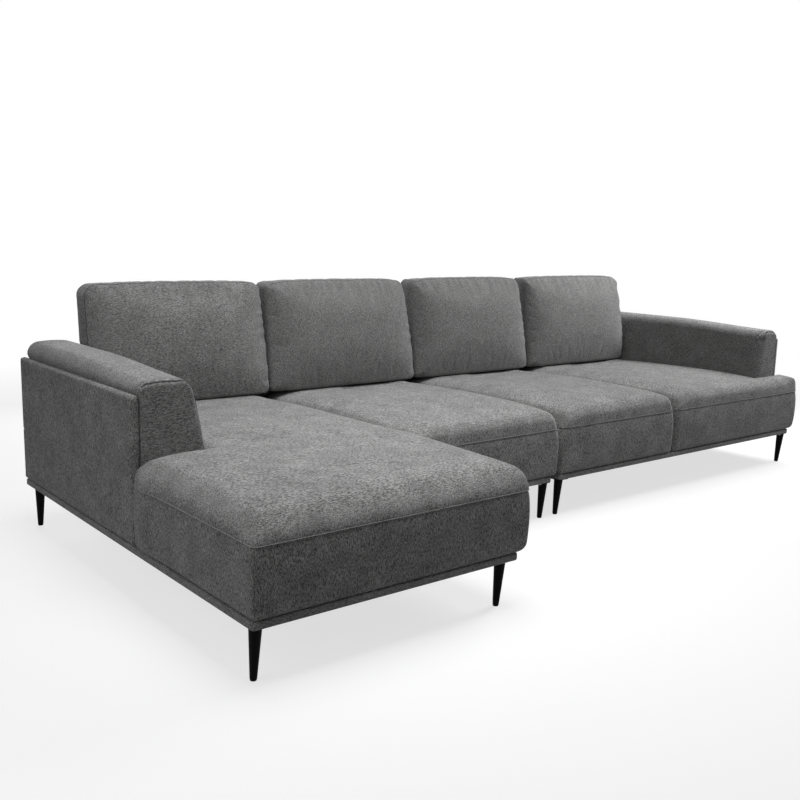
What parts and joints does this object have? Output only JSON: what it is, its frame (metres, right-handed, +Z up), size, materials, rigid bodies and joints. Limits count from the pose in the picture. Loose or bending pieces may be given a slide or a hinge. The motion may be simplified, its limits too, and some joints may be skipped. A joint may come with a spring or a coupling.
{
  "type": "modular sofa",
  "caption": "Low modular sectional sofa in grey woven cloth with a chaise at one end, slim padded arms, loose back cushions and thin tapered metal legs.",
  "frame": {"origin": "middle of the outer box of the coupled sofa, on the floor that its feet stand on", "axes": "+X along the back from the chaise arm to the other arm, +Y from the seat towards the back, +Z up; the sitter faces -Y"},
  "size_m": [3.438, 1.655, 0.8894],
  "materials": {
    "upholstery_cloth": "heathered grey flat weave, matt",
    "base_rail_cloth": "the same grey flat weave, wrapped tight round a board",
    "dust_cover_cloth": "thin black lining cloth",
    "webbing": "elastic woven strap",
    "frame_timber": "raw sawn softwood",
    "leg_metal": "satin black powder coat",
    "coupling_steel": "black",
    "screw_steel": "zinc plated",
    "glide_nylon": "pale nylon"
  },
  "bodies": {
    "chaise_unit": {"leg_chaise_front_left": "leg_metal", "leg_chaise_front_right": "leg_metal", "leg_joint_front_a": "leg_metal", "leg_joint_rear_a": "leg_metal", "leg_rear_left": "leg_metal", "coupling_jaws": "coupling_steel", "base_screws_a": "screw_steel", "leg_glides_a": "glide_nylon", "base_rail_chaise_front": "base_rail_cloth", "base_rail_left": "base_rail_cloth", "base_rail_middle": "base_rail_cloth", "base_rail_second_front": "base_rail_cloth", "base_rail_joint_a": "base_rail_cloth", "base_rail_rear_a": "base_rail_cloth", "dust_cover_chaise": "dust_cover_cloth", "dust_cover_second": "dust_cover_cloth", "seat_frame_a": "frame_timber", "seat_webbing_a": "webbing", "border_chaise_front": "upholstery_cloth", "border_left": "upholstery_cloth", "border_chaise_right": "upholstery_cloth", "border_second_front": "upholstery_cloth", "border_joint_a": "upholstery_cloth", "side_panel_left": "upholstery_cloth", "back_panel_a": "upholstery_cloth", "arm_frame_left": "frame_timber", "arm_pad_left": "upholstery_cloth", "back_pad_a": "upholstery_cloth", "seat_cushion_chaise": "upholstery_cloth", "seat_cushion_second": "upholstery_cloth"},
    "end_unit": {"leg_joint_front_b": "leg_metal", "leg_joint_rear_b": "leg_metal", "leg_end_front": "leg_metal", "leg_end_rear": "leg_metal", "coupling_tongues": "coupling_steel", "base_screws_b": "screw_steel", "leg_glides_b": "glide_nylon", "base_rail_front_b": "base_rail_cloth", "base_rail_joint_b": "base_rail_cloth", "base_rail_right": "base_rail_cloth", "base_rail_rear_b": "base_rail_cloth", "dust_cover_b": "dust_cover_cloth", "seat_frame_b": "frame_timber", "seat_webbing_b": "webbing", "border_joint_b": "upholstery_cloth", "border_third_front": "upholstery_cloth", "border_end_front": "upholstery_cloth", "border_right": "upholstery_cloth", "side_panel_right": "upholstery_cloth", "back_panel_b": "upholstery_cloth", "arm_frame_right": "frame_timber", "arm_pad_right": "upholstery_cloth", "back_pad_b": "upholstery_cloth", "seat_cushion_third": "upholstery_cloth", "seat_cushion_end": "upholstery_cloth"},
    "loose_cushion_chaise": {"back_cushion_chaise": "upholstery_cloth"},
    "loose_cushion_second": {"back_cushion_second": "upholstery_cloth"},
    "loose_cushion_third": {"back_cushion_third": "upholstery_cloth"},
    "loose_cushion_end": {"back_cushion_end": "upholstery_cloth"}
  },
  "joints": [
    {"name": "units_apart", "type": "slide", "parent": "chaise_unit", "child": "end_unit", "axis": [1, 0, 0], "range_m": [0, 0.4]},
    {"name": "lift_cushion_chaise", "type": "slide", "parent": "chaise_unit", "child": "loose_cushion_chaise", "axis": [0, 0, 1], "range_m": [0, 0.3]},
    {"name": "lift_cushion_second", "type": "slide", "parent": "chaise_unit", "child": "loose_cushion_second", "axis": [0, 0, 1], "range_m": [0, 0.3]},
    {"name": "lift_cushion_third", "type": "slide", "parent": "end_unit", "child": "loose_cushion_third", "axis": [0, 0, 1], "range_m": [0, 0.3]},
    {"name": "lift_cushion_end", "type": "slide", "parent": "end_unit", "child": "loose_cushion_end", "axis": [0, 0, 1], "range_m": [0, 0.3]}
  ]
}
